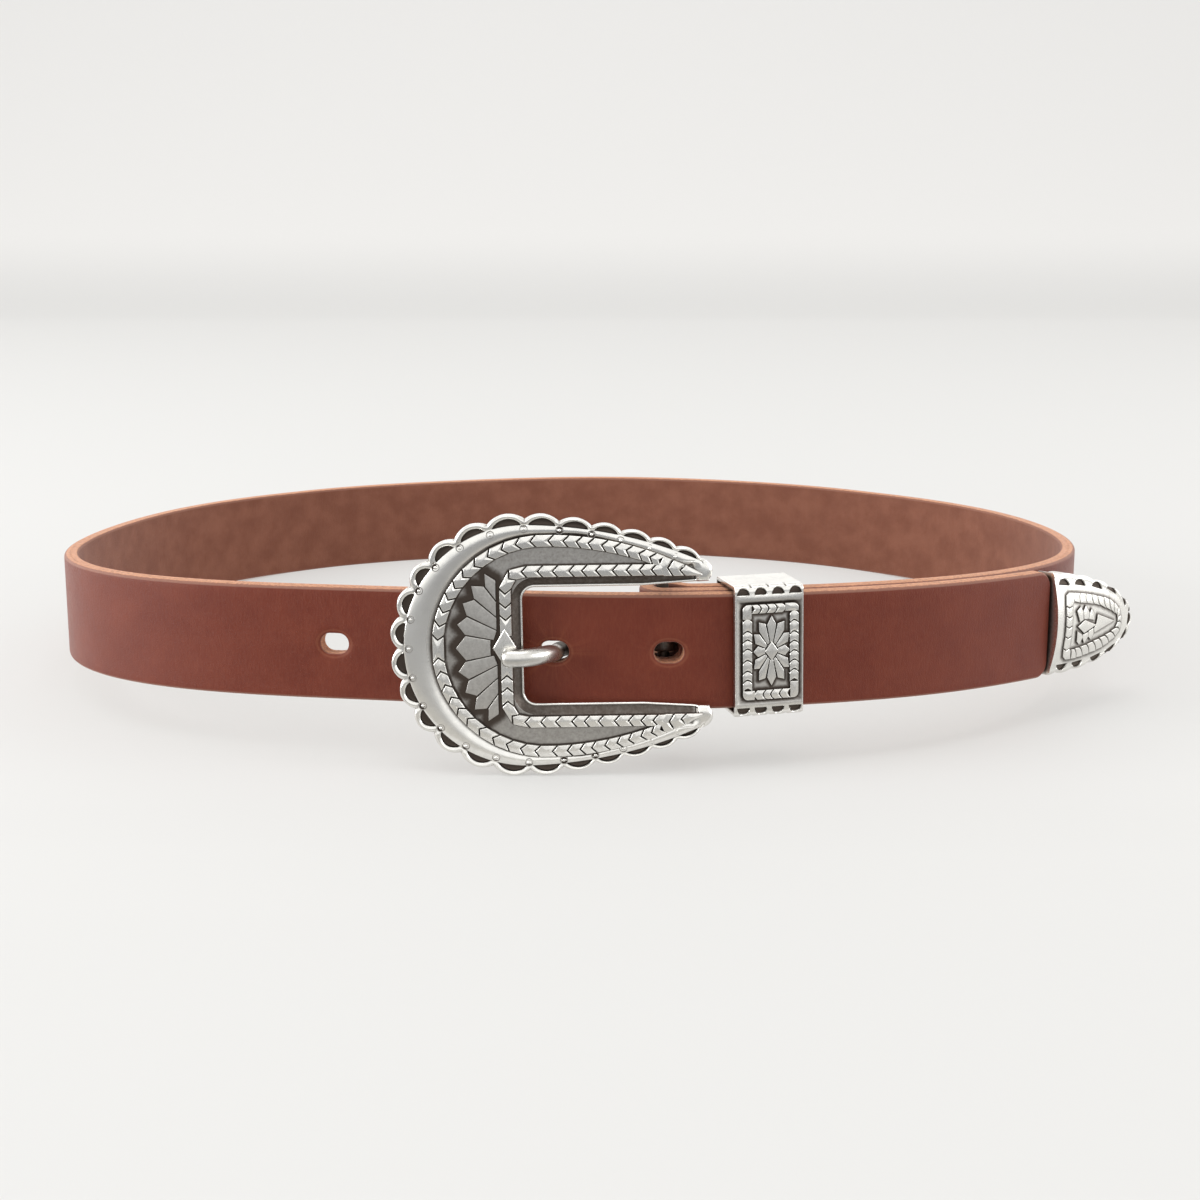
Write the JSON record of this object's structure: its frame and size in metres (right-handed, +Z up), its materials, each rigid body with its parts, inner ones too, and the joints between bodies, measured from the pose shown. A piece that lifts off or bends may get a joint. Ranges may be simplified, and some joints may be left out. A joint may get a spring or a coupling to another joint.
{
  "type": "western belt",
  "caption": "Leather western belt fastened into a loop, with a scalloped cast buckle, keeper and tip, standing on its edge.",
  "frame": {"origin": "middle of the belt's box at the level of the surface it stands on", "axes": "+X to the right along the buckle's face, +Y back through the loop, +Z up"},
  "size_m": [0.27, 0.2264, 0.0574],
  "materials": {
    "leather": "smooth brown vegetable-tanned leather with raw tan edges",
    "silver": "antiqued silver plate, dark in the recesses"
  },
  "bodies": {
    "root": {"strap": "leather", "buckle_frame": "silver", "prong": "silver", "keeper": "silver", "tip": "silver", "tail_rivet": "silver"}
  },
  "joints": []
}
